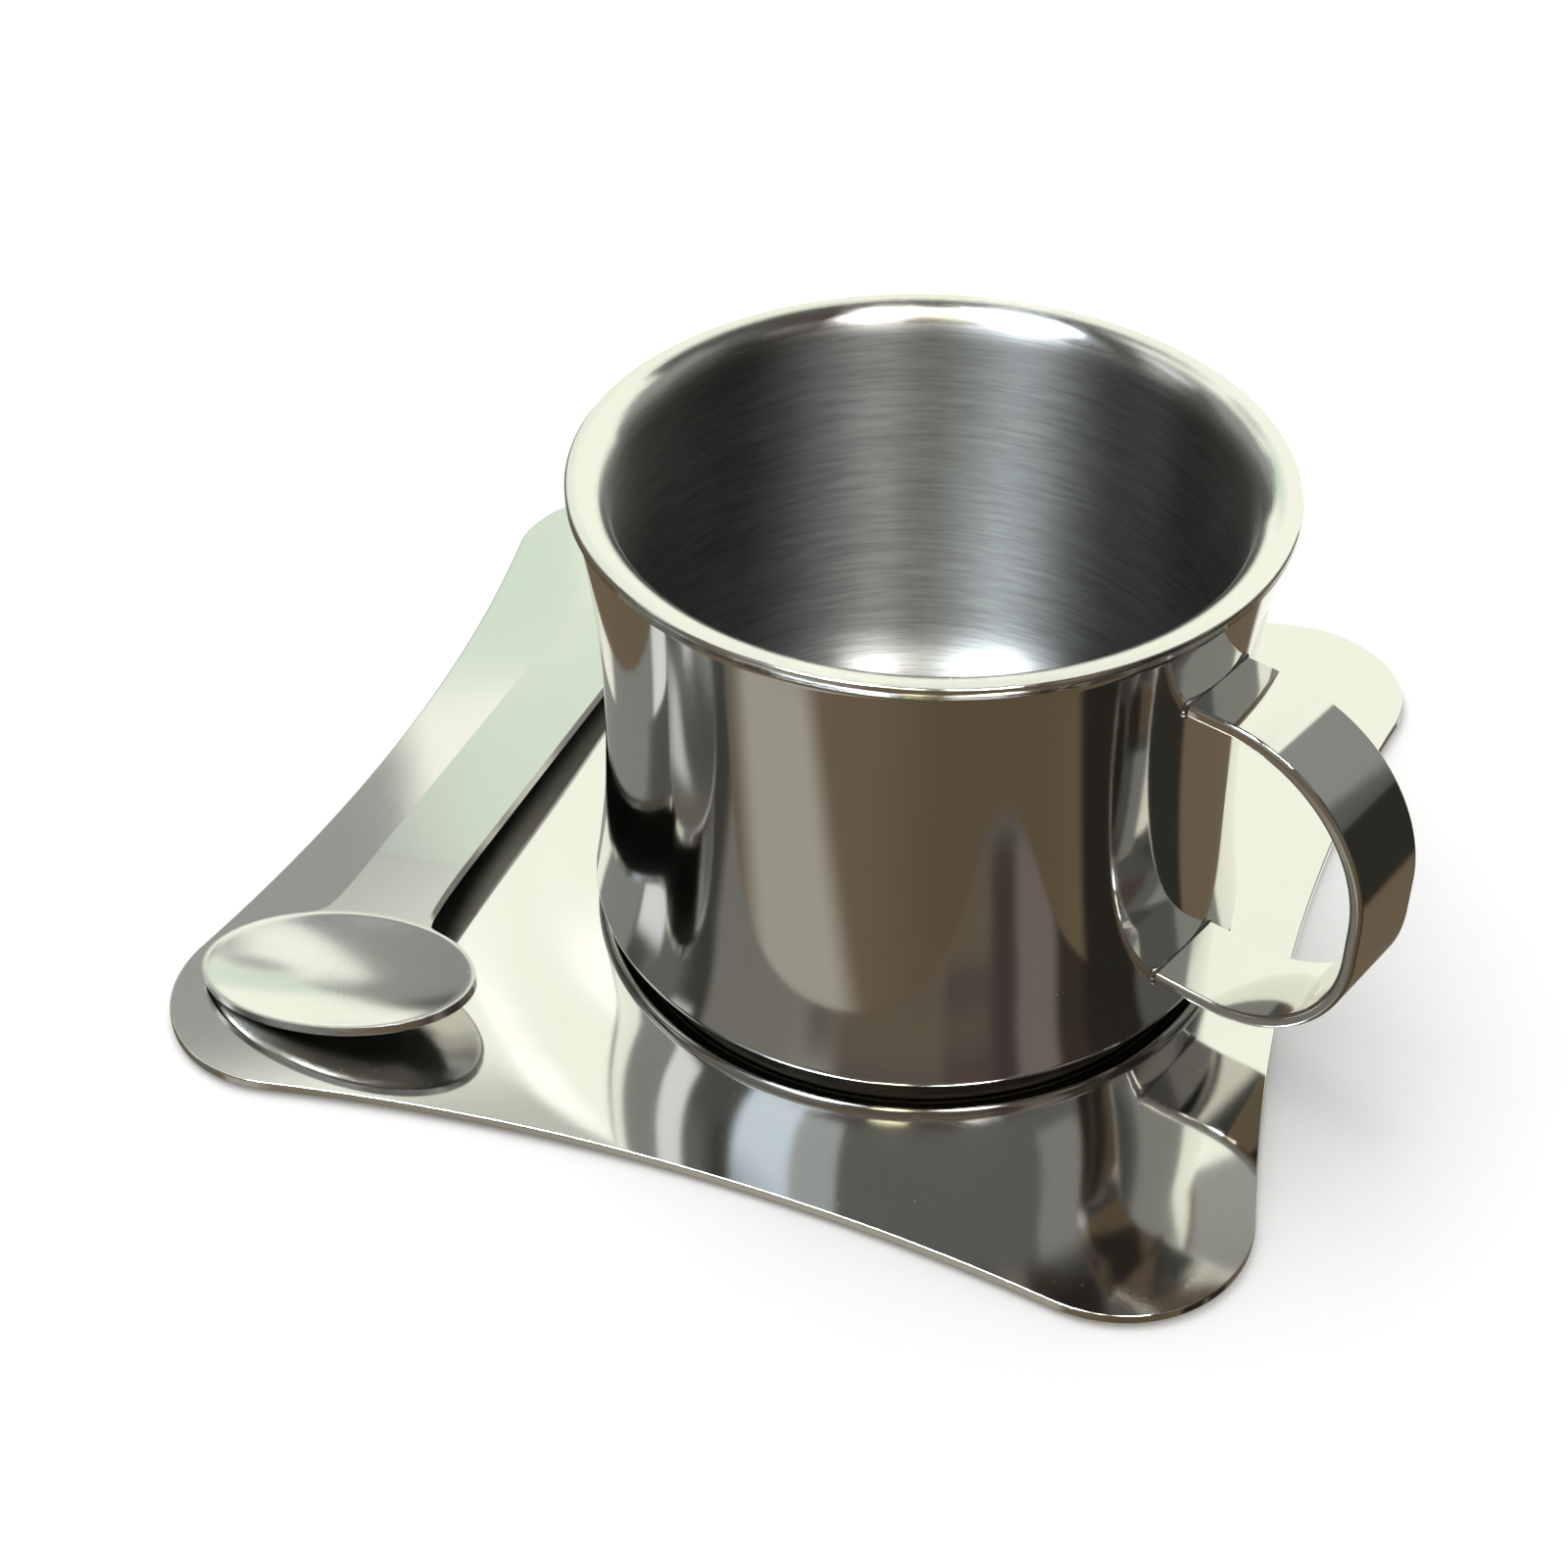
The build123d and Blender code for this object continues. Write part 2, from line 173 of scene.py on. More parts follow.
# Soft cards and dark flags that stand round the set and are seen only in the steel.
# Each one: from and to azimuth, from and to elevation, softness of its edges (all in degrees),
# sideways lean per degree of elevation, and its light. Azimuth 0 is +X and 90 is +Y.
SOFT_CARDS = (
    # table side, below the horizon
    ("brown table top", -180, 180, -90, 2, 6, 0.0, (0.160, 0.122, 0.080)),
    ("table shade", -80, -12, -90, 2, 40, 0.0, (0.118, 0.088, 0.052)),
    ("pale cloth", -136, -103, -58, -24, 12, 1.1, (0.400, 0.385, 0.320)),
    ("grey cloth fold", -180, -150, -90, 12, 12, 0.0, (0.150, 0.145, 0.118)),
    ("dark chair", -12, 9, -90, 16, 4, 0.0, (0.022, 0.020, 0.015)),
    ("dark table edge", 14, 34, -90, 9, 3, 0.0, (0.030, 0.028, 0.022)),
    ("white sheet beyond", 72, 123, -44, -10, 4, 0.0, (1.05, 1.05, 0.94)),
    # camera side, above the horizon
    ("brown curtain", -101, -44, 0, 48, 5, 0.0, (0.165, 0.135, 0.095)),
    ("curtain hem", -101, -62, 26, 33.5, 4, 0.0, (0.130, 0.115, 0.098)),
    ("purple curtain", -62, -18, 26, 36, 4, 0.0, (0.105, 0.074, 0.070)),
    ("purple fold", -46, -37, 0, 48, 6, 0.0, (0.075, 0.053, 0.050)),
    ("pale fold", -37, -23, 0, 48, 5, 0.0, (0.215, 0.185, 0.165)),
    ("dark fold", -22, -10, 0, 46, 3, 0.0, (0.050, 0.038, 0.030)),
    ("olive wall", -148, -108, 10, 48, 8, 0.0, (0.240, 0.238, 0.210)),
    ("pale blind", -114, -98, 20, 35, 8, 0.0, (0.30, 0.29, 0.265)),
    ("dim wall", -156, -147, 30, 52, 4, 0.0, (0.060, 0.060, 0.052)),
    ("side wall", -178, -160, 30, 50, 5, 0.0, (0.170, 0.172, 0.160)),
    ("lamp streak", -163, -154, 12, 33, 3, 0.3, (0.80, 0.82, 0.82)),
    ("dark doorway", -12, 12, 12, 44, 4, 0.0, (0.026, 0.022, 0.018)),
    ("side cupboard", 10, 32, 12, 54, 4, 0.0, (0.120, 0.120, 0.110)),
    ("front ceiling", -108, 70, 46, 62, 4, 0.0, (0.150, 0.152, 0.142)),
    ("doorway light", -16, 3, 46, 57, 2.5, 0.0, (0.300, 0.300, 0.280)),
    ("doorway top", 4, 26, 44, 58, 3, 0.0, (0.080, 0.080, 0.074)),
    ("purple ceiling", -125, 75, 64, 90, 5, 0.0, (0.095, 0.068, 0.060)),
    ("pale curtain", -124, -101, 48, 62, 3, 0.0, (0.460, 0.500, 0.500)),
    ("blue window", -147, -121, 49, 63, 5, 0.0, (0.85, 1.00, 1.12)),
    ("pale fold top", -42, -25, 66, 84, 3, 0.0, (66.0, 64.5, 62.0)),
    ("olive ceiling", -90, -74, 66, 84, 4, 0.0, (10.0, 9.7, 6.2)),
    ("bright sky", -152, -117, 66, 84, 3, 0.0, (72.0, 79.0, 85.0)),
    ("white strip lamp", 173, 188, 38, 56, 2, 0.0, (1.00, 1.04, 1.04)),
    # far side, above the horizon
    ("grey wall", 118, 172, 14, 60, 4, 0.0, (0.300, 0.315, 0.290)),
    ("cream window", 60, 129, -12, 46, 2.5, 0.0, (1.12, 1.15, 0.99)),
    ("leaning window", 124, 148, 31, 62, 3, 0.75, (1.16, 1.18, 1.04)),
    ("green tinted pane", 115, 128.5, 22, 36.6, 1.5, 0.0, (0.80, 0.94, 0.78)),
    ("grey panel", 120.5, 130, 37.2, 44.5, 1.5, 0.0, (0.370, 0.385, 0.360)),
    ("grey ledge", 128.5, 134, 27, 31.3, 1.5, 0.0, (0.400, 0.405, 0.385)),
    ("lintel", 104, 122, 45.4, 49.5, 1.5, 0.0, (0.60, 0.62, 0.54)),
    ("bright gap", 113.3, 116.6, 42, 45.4, 1.0, 0.0, (1.35, 1.35, 1.25)),
    ("dark beam", 66, 104, 46, 60, 2.5, 0.0, (0.060, 0.060, 0.054)),
    ("beam glint", 92, 99, 45.5, 49.5, 1.5, 0.0, (0.36, 0.36, 0.33)),
    ("grey shutter", 30, 60, 10, 54, 3, 0.0, (0.300, 0.305, 0.280)),
)
DIM_ROOM = (0.10, 0.10, 0.092, 1.0)


class StudioSettings(PropertyGroup):
    floor_colour: colour("Floor", "Pale floor under the set", (0.86, 0.86, 0.85))
    surround: FloatProperty(name="Surround", description="Brightness of the soft white room", default=1.0)
    cards: FloatProperty(name="Cards", description="Brightness of the cards that the steel mirrors",
                         default=1.0)
    lamp_power: FloatProperty(name="Lamp power", description="Soft overhead lamp", default=3.0,
                              subtype="POWER")
    lamp_size: length("Lamp size", "Side of the soft overhead lamp", 0.6)
    lamp_place: FloatVectorProperty(name="Lamp place", description="Where the lamp hangs",
                                    default=(-0.25, 0.15, 0.8), subtype="TRANSLATION", unit="LENGTH")
    floor_half: length("Floor reach", "From the middle of the floor to its sides", 6.0)
    camera_place: FloatVectorProperty(name="Camera place", description="Where the camera stands",
                                      default=(0.0808, -0.2426, 0.2173), subtype="TRANSLATION", unit="LENGTH")
    camera_turn: angle("Camera turn", "Camera's direction about the vertical", 19.79)
    camera_dip: angle("Camera dip", "Camera's angle below level", 39.12)
    camera_lens: FloatProperty(name="Lens", description="Focal length on a 36 mm frame", default=58.21,
                               unit="CAMERA")


# ---------------------------------------------------------------- node building
class Wire:
    """A node socket that takes part in Python expressions."""

    def __init__(self, tree, socket):
        self.tree = tree
        self.socket = socket

    def maths(self, operation, *values):
        made = add_node(self.tree, "ShaderNodeMath", {"operation": operation})
        for slot, value in zip(made.inputs, (self,) + values):
            plug(self.tree, slot, value)
        return Wire(self.tree, made.outputs[0])

    def __add__(self, other):
        return self.maths("ADD", other)

    def __sub__(self, other):
        return self.maths("SUBTRACT", other)

    def __mul__(self, other):
        return self.maths("MULTIPLY", other)

    def __truediv__(self, other):
        return self.maths("DIVIDE", other)

    def __rsub__(self, other):
        return self.maths("MULTIPLY", -1.0).maths("ADD", other)

    __radd__ = __add__
    __rmul__ = __mul__


def plug(tree, slot, value):
    """Sets a socket to a number or colour, or links it to a Wire."""
    if isinstance(value, Wire):
        tree.links.new(value.socket, slot)
    else:
        slot.default_value = value


def add_node(tree, kind, settings=None, **inputs):
    """Adds a node, sets its settings first and then its named inputs."""
    made = tree.nodes.new(kind)
    for key, value in (settings or {}).items():
        setattr(made, key, value)
    for key, value in inputs.items():
        plug(tree, made.inputs[key.replace("_", " ")], value)
    return made


def mixed(tree, first, second, factor, label=""):
    """Colour between first and second, as a wire."""
    mix = add_node(tree, "ShaderNodeMix", {"data_type": "RGBA", "label": label})
    plug(tree, mix.inputs["Factor"], factor)
    plug(tree, mix.inputs[6], first)
    plug(tree, mix.inputs[7], second)
    return Wire(tree, mix.outputs[2])


def faded(value, half, soft):
    """1 while value lies within half of zero, fading to 0 across a soft edge."""
    made = add_node(value.tree, "ShaderNodeMapRange", {"interpolation_type": "SMOOTHSTEP"},
                    Value=value.maths("ABSOLUTE"))
    made.inputs["From Min"].default_value = half + soft / 2
    made.inputs["From Max"].default_value = half - soft / 2
    return Wire(value.tree, made.outputs["Result"])


# ---------------------------------------------------------------- mesh building
def rounded_line(corners, closed=False, bend_steps=10):
    """Points along a line of (across, up, rounding) corners, each rounded by an arc.

    A support point stands just before and just after each arc, so that smooth shading stays
    on the arc and leaves the straight stretches flat.
    """
    support_share, longest_support = 0.15, 0.0002
    count = len(corners)
    points = []
    for index, (across, up, rounding) in enumerate(corners):
        here = Vector((across, up))
        is_end = not closed and index in (0, count - 1)
        if is_end or rounding == 0.0:
            points.append(here)
            continue
        before = (here - Vector(corners[index - 1][:2])).normalized()
        after = (Vector(corners[(index + 1) % count][:2]) - here).normalized()
        bend = before.angle_signed(after)
        run = rounding * math.tan(abs(bend) / 2)
        start = here - before * run
        side = 1.0 if bend < 0 else -1.0
        centre = start + Vector((-before.y, before.x)) * side * rounding
        support = min(support_share * rounding, longest_support)
        points.append(start - before * support)
        for step in range(bend_steps + 1):
            turn = Matrix.Rotation(-bend * step / bend_steps, 2)
            points.append(centre + turn @ (start - centre))
        points.append(here + after * (run + support))
    return points


def arc_through(first, middle, last, steps):
    """Points on the circle through three (across, up) points."""
    a, b, c = Vector(first), Vector(middle), Vector(last)
    ab, cb = (a + b) / 2, (c + b) / 2
    u = Vector((a.y - b.y, b.x - a.x))
    w = Vector((b.y - c.y, c.x - b.x))
    gap = cb - ab
    reach = (gap.x * w.y - gap.y * w.x) / (u.x * w.y - u.y * w.x)
    centre = ab + u * reach
    sweep = (a - centre).angle_signed(c - centre)
    return [centre + Matrix.Rotation(-sweep * step / steps, 2) @ (a - centre) for step in range(steps + 1)]


def start_mesh(points, closed=False):
    """A bmesh with one chain of edges through the points."""
    bm = bmesh.new()
    verts = [bm.verts.new(point) for point in points]
    pairs = list(zip(verts, verts[1:]))
    if closed:
        pairs.append((verts[-1], verts[0]))
    for pair in pairs:
        bm.edges.new(pair)
    return bm


def finish_mesh(bm, name, material, body, node, weld=1e-7):
    """Closes poles, points faces outwards and makes the object that stands for the node."""
    bmesh.ops.remove_doubles(bm, verts=bm.verts, dist=weld)
    bmesh.ops.recalc_face_normals(bm, faces=bm.faces)
    if any(edge.is_boundary for edge in bm.edges) and sum(face.normal.z for face in bm.faces) < 0.0:
        bmesh.ops.reverse_faces(bm, faces=bm.faces)
    for face in bm.faces:
        face.smooth = True
    mesh = bpy.data.meshes.new(name)
    bm.to_mesh(mesh)
    bm.free()
    return place_mesh(mesh, name, material, body, node)


def place_mesh(mesh, name, material, body, node):
    piece = bpy.data.objects.new(name, mesh)
    bpy.context.scene.collection.objects.link(piece)
    piece.data.materials.append(material)
    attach(piece, body)
    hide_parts(node)
    return piece


def turn_on_axis(points, steps, closed):
    """Full turn about the mug's axis of a chain of (radius, height above the foot) points."""
    bm = start_mesh([(MUG_AXIS.x + radius, MUG_AXIS.y, FOOT_Z + height) for radius, height in points], closed)
    bmesh.ops.spin(bm, geom=bm.verts[:] + bm.edges[:], cent=MUG_AXIS, axis=(0, 0, 1),
                   angle=2 * math.pi, steps=steps, use_merge=True)
    return bm


# ---------------------------------------------------------------- finishes
MILLIMETRES = 1000.0
SHEET_WAVE = 0.00001
PRESSED_WAVE = 0.00002
RIPPLE_SIZE, RIPPLE_HEIGHT = 0.0012, 0.00015


def steel_material(name):
    """An empty material with a Principled shader, and the wires that its finish starts from."""
    material = bpy.data.materials.new(name)
    material.use_nodes = True
    tree = material.node_tree
    shader = tree.nodes["Principled BSDF"]
    shader.inputs["Metallic"].default_value = 1.0
    place = Wire(tree, add_node(tree, "ShaderNodeTexCoord").outputs["Object"])
    return material, tree, shader, place


def cloudiness(tree, place, size, detail=3.0, distortion=0.0):
    """Soft noise whose blobs are about size metres across, as a wire from 0 to 1."""
    return Wire(tree, add_node(tree, "ShaderNodeTexNoise", Vector=place, Scale=1.0 / size, Detail=detail,
                               Distortion=distortion).outputs["Fac"])


def stretched(tree, place, scale, rotation=(0.0, 0.0, 0.0), location=(0.0, 0.0, 0.0)):
    return Wire(tree, add_node(tree, "ShaderNodeMapping", {"vector_type": "POINT"}, Vector=place, Scale=scale,
                               Rotation=rotation, Location=location).outputs["Vector"])


def tinted(tree, tint, amount, factor):
    """The tint, darkened by up to amount where factor is 1."""
    dark = tuple(channel * (1.0 - amount) for channel in tint)
    return mixed(tree, (*tint, 1.0), (*dark, 1.0), factor)


def raise_surface(tree, shader, height, distance):
    """Bumps the shader's surface by a height from 0 to 1, up to distance metres."""
    bump = add_node(tree, "ShaderNodeBump", Strength=1.0, Distance=distance, Height=height)
    plug(tree, shader.inputs["Normal"], Wire(tree, bump.outputs["Normal"]))


def polished_steel(name, tint, roughness, wave_height=SHEET_WAVE):
    """Mirror finish with faint smudges, hairlines and the slight waviness of pressed sheet."""
    smudge_size, hairline_size, wave_size = 0.018, 0.0006, 0.030
    smudge_blur, hairline_blur = 0.05, 0.03
    material, tree, shader, place = steel_material(name)
    smudge = cloudiness(tree, place, smudge_size, detail=4.0, distortion=0.6)
    drawn_out = stretched(tree, place, (1.0, 0.04, 1.0), rotation=(0.0, 0.0, 0.5))
    hairline = cloudiness(tree, drawn_out, hairline_size, detail=2.0)
    clear_blur = roughness - (smudge_blur + hairline_blur) / 2
    plug(tree, shader.inputs["Base Color"], tinted(tree, tint, 0.05, smudge))
    plug(tree, shader.inputs["Roughness"], smudge * smudge_blur + hairline * hairline_blur + clear_blur)
    raise_surface(tree, shader, cloudiness(tree, place, wave_size, detail=1.0), wave_height)
    return material


def brushed_steel(name, tint, roughness, stretch, lip_z, lip_tint, lip_roughness):
    """Satin finish with fine lines round the mug's axis, polished above lip_z."""
    quarter_turn = 0.25
    line_length, line_count, line_blur, line_depth = 1.8, 700.0, 0.14, 0.00003
    lip_reach, lip_fade = 10.0, 2.0
    material, tree, shader, place = steel_material(name)
    shader.inputs["Anisotropic"].default_value = stretch
    shader.inputs["Anisotropic Rotation"].default_value = quarter_turn
    centred = stretched(tree, place, (1.0, 1.0, 1.0), location=(-MUG_AXIS.x, -MUG_AXIS.y, 0.0))
    parts = add_node(tree, "ShaderNodeSeparateXYZ", Vector=centred)
    x, y, z = (Wire(tree, parts.outputs[key]) for key in "XYZ")
    radius = (x * x + y * y).maths("SQRT")
    around = add_node(tree, "ShaderNodeCombineXYZ", X=x / radius * line_length, Y=y / radius * line_length,
                      Z=(z + radius) * line_count)
    lines = Wire(tree, add_node(tree, "ShaderNodeTexNoise", Vector=Wire(tree, around.outputs[0]), Scale=2.2,
                                Detail=5.0, Roughness=0.7).outputs["Fac"])
    patch = cloudiness(tree, place, 0.02, detail=2.0)
    lip = faded((z - lip_z) * MILLIMETRES - lip_reach, lip_reach, lip_fade)
    brushed_tint = tinted(tree, tint, 1.0, lines + patch * 0.2 - 0.45)
    plug(tree, shader.inputs["Base Color"], mixed(tree, brushed_tint, (*lip_tint, 1.0), lip, "polished lip"))
    brushed_blur = lines * line_blur + (roughness - line_blur / 2)
    plug(tree, shader.inputs["Roughness"], brushed_blur + lip * (lip_roughness - brushed_blur))
    raise_surface(tree, shader, lines, line_depth)
    return material


def weld_steel(name, tint):
    """Dull, slightly rippled bead."""
    material, tree, shader, place = steel_material(name)
    ripple = cloudiness(tree, place, RIPPLE_SIZE, detail=2.0)
    plug(tree, shader.inputs["Base Color"], tinted(tree, tint, 0.4, ripple))
    plug(tree, shader.inputs["Roughness"], ripple * 0.2 + 0.3)
    raise_surface(tree, shader, ripple, RIPPLE_HEIGHT)
    return material


# ---------------------------------------------------------------- mug
def wall_curve(sizes, inset, steps=48):
    """Waisted side of the outer wall, from the foot up, moved inwards by inset."""
    top = SHELL_TOP_Z - FOOT_Z
    return arc_through((sizes.foot_radius - inset, 0.0), (sizes.waist_radius - inset, sizes.waist_height),
                       (SHELL_TOP_RADIUS - inset, top), steps)


def wall_radius(sizes, height):
    """Outside radius of the outer wall at a height above the foot."""
    curve = wall_curve(sizes, 0.0)
    for low, high in zip(curve, curve[1:]):
        if low.y <= height <= high.y:
            part = (height - low.y) / (high.y - low.y)
            return low.x + (high.x - low.x) * part
    raise ValueError(f"the wall has no height {height}")


class MUGSET_OT_outer_wall(Operator):
    """Waisted outer wall of the mug, with its foot turned inwards"""

    bl_idname = "mugset.outer_wall"
    bl_label = "Outer Wall"

    def execute(self, context):
        sizes = context.scene.mug_sizes
        finish = context.scene.steel_finish
        sheet = sizes.wall_sheet
        clear_of_foot = 1.3 * sizes.foot_round
        flange = sizes.foot_radius - sizes.foot_round - sizes.flange_width
        inner_round = sizes.foot_round - sheet
        outside = [point for point in wall_curve(sizes, 0.0) if point.y > clear_of_foot]
        inside = [point for point in wall_curve(sizes, sheet) if point.y > clear_of_foot]
        foot_outer = rounded_line([(flange, 0.0, 0.0), (sizes.foot_radius, 0.0, sizes.foot_round),
                                   tuple(outside[0]) + (0.0,)])[1:-1]
        foot_inner = rounded_line([(flange, sheet, 0.0), (sizes.foot_radius - sheet, sheet, inner_round),
                                   tuple(inside[0]) + (0.0,)])[1:-1]
        section = [Vector((flange, 0.0))] + foot_outer + outside
        section += inside[::-1] + foot_inner[::-1] + [Vector((flange, sheet))]
        bm = turn_on_axis(section, sizes.spin_steps, closed=True)
        material = polished_steel("polished_wall_steel", finish.polished, finish.polished_roughness)
        finish_mesh(bm, "mug_outer_wall", material, "mug", "outer_shell")
        return {"FINISHED"}


class MUGSET_OT_liner(Operator):
    """Inner cup of the mug, with its trumpet mouth and folded hem"""

    bl_idname = "mugset.liner"
    bl_label = "Inner Liner"

    def execute(self, context):
        sizes = context.scene.mug_sizes
        finish = context.scene.steel_finish
        sheet = sizes.liner_sheet
        bore = sizes.bore_radius
        rim = RIM_Z - FOOT_Z
        hem_foot = rim - sizes.hem_depth
        floor = sizes.floor_height
        mouth = RIM_RADIUS - sizes.lip_width - sizes.hem_round
        flare = mouth - bore
        inside = rounded_line([(0.0, floor, 0.0), (bore, floor, sizes.floor_round),
                               (bore, rim, flare), (RIM_RADIUS, rim, 0.0)], bend_steps=20)[:-2]
        hem = rounded_line([(mouth, rim, 0.0), (RIM_RADIUS, rim, sizes.hem_round), (RIM_RADIUS, hem_foot, 0.0)],
                           bend_steps=8)[1:]
        hem_bore = RIM_RADIUS - sizes.hem_width
        under = flare - sheet
        drop = math.sqrt(max(under ** 2 - (mouth - hem_bore) ** 2, 0.0))
        tuck = [Vector((hem_bore, hem_foot)), Vector((hem_bore, rim - flare + drop))]
        start = math.atan2(drop, hem_bore - mouth)
        flare_back = []
        flare_steps = 12
        for step in range(1, flare_steps + 1):
            turn = start + (math.pi - start) * step / flare_steps
            flare_back.append(Vector((mouth + under * math.cos(turn), rim - flare + under * math.sin(turn))))
        outside = rounded_line([(bore + sheet, rim - flare, 0.0), (bore + sheet, floor - sheet,
                                sizes.floor_round + sheet), (0.0, floor - sheet, 0.0)], bend_steps=16)[1:]
        section = inside + hem + tuck + flare_back + outside
        bm = turn_on_axis(section, sizes.spin_steps, closed=False)
        material = brushed_steel("satin_liner_steel", finish.satin, finish.satin_roughness,
                                 finish.brush_stretch, RIM_Z - sizes.lip_polish, finish.polished,
                                 2 * finish.polished_roughness)
        finish_mesh(bm, "mug_inner_liner", material, "mug", "inner_liner")
        return {"FINISHED"}


class MUGSET_OT_base_pan(Operator):
    """Shallow pan that closes the mug's foot and carries it"""

    bl_idname = "mugset.base_pan"
    bl_label = "Base Pan"

    def execute(self, context):
        sizes = context.scene.mug_sizes
        finish = context.scene.steel_finish
        sheet = sizes.wall_sheet
        lip = (BASE_HIGH.x - BASE_LOW.x) / 2
        wall = sizes.foot_radius - sizes.foot_round - sizes.flange_width - sizes.pan_clearance
        low, top = BASE_LOW.z - FOOT_Z, BASE_HIGH.z - FOOT_Z
        panel, panel_top = sizes.pan_panel, low + sizes.pan_panel_rise
        step = panel + 3 * sizes.pan_panel_rise
        tight, wide = 0.0003, 0.0010
        section = rounded_line([
            (0.0, panel_top, 0.0), (panel, panel_top, tight), (step, low, tight), (wall, low, wide),
            (wall, top - sheet, tight), (lip, top - sheet, tight), (lip, top, tight),
            (wall - sheet, top, wide), (wall - sheet, low + sheet, tight), (step, low + sheet, tight),
            (panel, panel_top + sheet, tight), (0.0, panel_top + sheet, 0.0),
        ], bend_steps=5)
        bm = turn_on_axis(section, sizes.spin_steps // 2, closed=False)
        # The base pan's dark colour is painted shade for the gap under the foot; its roughness is its own satin
        # finish.
        material = brushed_steel("base_pan_steel_painted_shade", finish.pan_painted_shade, finish.satin_roughness, 0.0,
                                 RIM_Z, finish.pan_painted_shade, finish.satin_roughness)
        finish_mesh(bm, "mug_base_pan", material, "mug", "base_pan")
        return {"FINISHED"}


# ---------------------------------------------------------------- handle
def to_handle(bm, sizes):
    """Turns a mesh built along +X about the mug's axis, to where the handle points."""
    turn = Matrix.Rotation(sizes.turn, 4, "Z")
    bm.transform(Matrix.Translation((MUG_AXIS.x, MUG_AXIS.y, FOOT_Z)) @ turn)


class MUGSET_OT_handle(Operator):
    """Bent strap handle and the weld bead round each of its ends"""

    bl_idname = "mugset.handle"
    bl_label = "Handle"

    def execute(self, context):
        finish = context.scene.steel_finish
        self.strap(context, polished_steel("polished_strap_steel", finish.polished, finish.polished_roughness))
        bead = weld_steel("weld_bead_steel", finish.weld)
        sizes = context.scene.handle_sizes
        self.bead(context, sizes.top, "mug_handle_weld_upper", "handle_weld_upper", bead)
        self.bead(context, sizes.bottom, "mug_handle_weld_lower", "handle_weld_lower", bead)
        return {"FINISHED"}

    def strap(self, context, material):
        sizes = context.scene.handle_sizes
        mug = context.scene.mug_sizes
        top_end = wall_radius(mug, sizes.top) - sizes.seat_depth
        bottom_end = wall_radius(mug, sizes.bottom) - sizes.seat_depth
        line = rounded_line([
            (top_end, sizes.top, 0.0), (sizes.reach, sizes.top, sizes.top_bend),
            (sizes.reach, sizes.bottom, sizes.bottom_bend), (bottom_end, sizes.bottom, 0.0),
        ], bend_steps=40)
        bm = start_mesh([(across, -sizes.width / 2, up) for across, up in line])
        grown = bmesh.ops.extrude_edge_only(bm, edges=bm.edges[:])
        verts = [item for item in grown["geom"] if isinstance(item, bmesh.types.BMVert)]
        bmesh.ops.translate(bm, verts=verts, vec=(0.0, sizes.width, 0.0))
        bmesh.ops.recalc_face_normals(bm, faces=bm.faces)
        to_handle(bm, sizes)
        piece = finish_mesh(bm, "mug_handle_strap", material, "mug", "handle_strap")
        wall = piece.modifiers.new("sheet", "SOLIDIFY")
        wall.thickness = sizes.thickness
        wall.offset = 0.0
        wall.use_even_offset = True
        soften_edges(piece, sizes.edge_round, 5)

    def bead(self, context, height, name, node, material):
        sizes = context.scene.handle_sizes
        mug = context.scene.mug_sizes
        half_wide, half_thick = sizes.width / 2, sizes.thickness / 2
        corner = half_thick * 0.9
        loop = rounded_line([(-half_wide, -half_thick, corner), (half_wide, -half_thick, corner),
                             (half_wide, half_thick, corner), (-half_wide, half_thick, corner)],
                            closed=True, bend_steps=6)
        data = bpy.data.curves.new(name, "CURVE")
        data.dimensions = "3D"
        data.bevel_depth = sizes.weld_bead
        data.bevel_resolution = 3
        spline = data.splines.new("POLY")
        spline.points.add(len(loop) - 1)
        for point, (side, up) in zip(spline.points, loop):
            radius = wall_radius(mug, height + up)
            point.co = (math.sqrt(radius ** 2 - side ** 2), side, height + up, 1.0)
        spline.use_cyclic_u = True
        guide = bpy.data.objects.new(name + "_guide", data)
        bpy.context.scene.collection.objects.link(guide)
        graph = context.evaluated_depsgraph_get()
        mesh = bpy.data.meshes.new_from_object(guide.evaluated_get(graph))
        bpy.data.objects.remove(guide)
        bm = bmesh.new()
        bm.from_mesh(mesh)
        bpy.data.meshes.remove(mesh)
        to_handle(bm, sizes)
        finish_mesh(bm, name, material, "mug", node)


def thicken_down(piece, sheet):
    """Live thickness below a piece drawn as its upper face."""
    wall = piece.modifiers.new("sheet", "SOLIDIFY")
    wall.thickness = sheet
    wall.offset = -1.0


def soften_edges(piece, width, segments):
    """Live bevel on the piece's sharp edges, with the big faces kept flat."""
    bevel = piece.modifiers.new("edges", "BEVEL")
    bevel.width = width
    bevel.segments = segments
    bevel.limit_method = "ANGLE"
    bevel.angle_limit = math.radians(50.0)
    bevel.harden_normals = True
    return bevel


# ---------------------------------------------------------------- saucer
def smooth_step(part):
    part = min(max(part, 0.0), 1.0)
    return part * part * (3.0 - 2.0 * part)


def saucer_height(sizes, radius):
    """Top of the saucer at a distance from the well's axis."""
    floor_top = SAUCER_LOW.z + sizes.sheet
    return floor_top + (SAUCER_HIGH.z - floor_top) * smooth_step((radius - sizes.floor_radius) / sizes.step_run)


